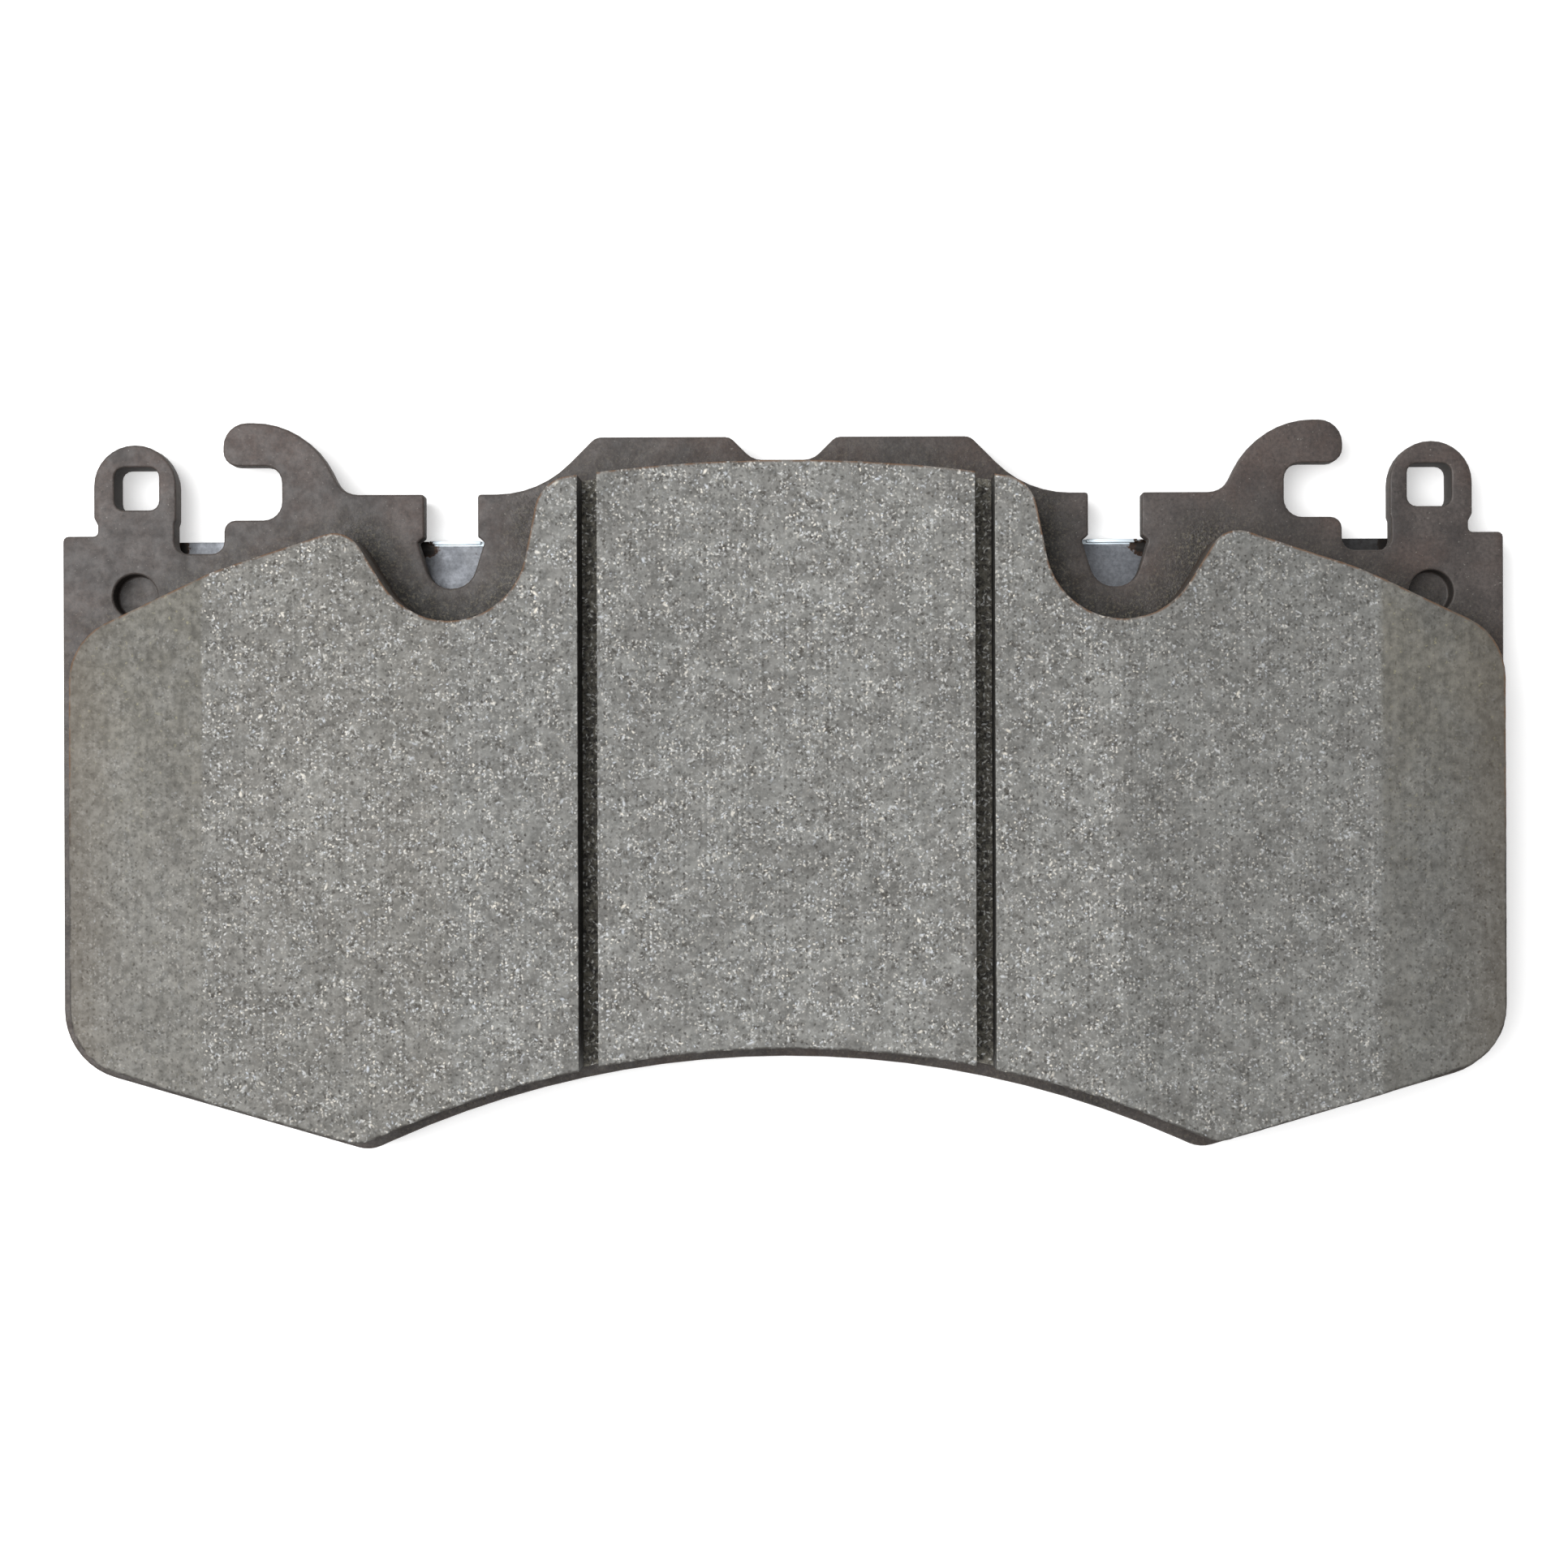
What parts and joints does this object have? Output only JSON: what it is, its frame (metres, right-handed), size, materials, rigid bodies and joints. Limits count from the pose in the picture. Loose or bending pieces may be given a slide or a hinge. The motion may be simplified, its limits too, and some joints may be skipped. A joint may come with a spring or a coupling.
{
  "type": "disc brake pad",
  "caption": "Disc brake pad for a large fixed caliper: slotted, chamfered friction lining on a steel plate with hooks, ears and pin notches, and a damping shim on its back.",
  "frame": {"origin": "middle of the bounding box along X and Y, on the underside of the shim; the pad lies on its back", "axes": "+X along the pad's length, +Y from the lower tips towards the hooks and ears, +Z from the shim to the friction face"},
  "size_m": [0.1942, 0.098, 0.0178],
  "materials": {
    "coated_steel": "dark satin powder coat with fine orange peel",
    "friction_material": "rough grey semi-metallic mix with bright metal specks",
    "base_mix": "rough dark base mix",
    "bond_resin": "matte brown resin",
    "adhesive": "matte film",
    "zinc_steel": "satin blue-grey zinc plating",
    "damping_rubber": "matte black rubber"
  },
  "bodies": {
    "root": {"backing_plate": "coated_steel", "friction_block_left": "friction_material", "friction_block_centre": "friction_material", "friction_block_right": "friction_material", "lining_underlayer": "base_mix", "lining_bond_layer": "bond_resin", "shim_adhesive_film": "adhesive", "shim_inner_sheet": "zinc_steel", "shim_rubber_layer": "damping_rubber", "shim_outer_sheet": "zinc_steel"}
  },
  "joints": []
}
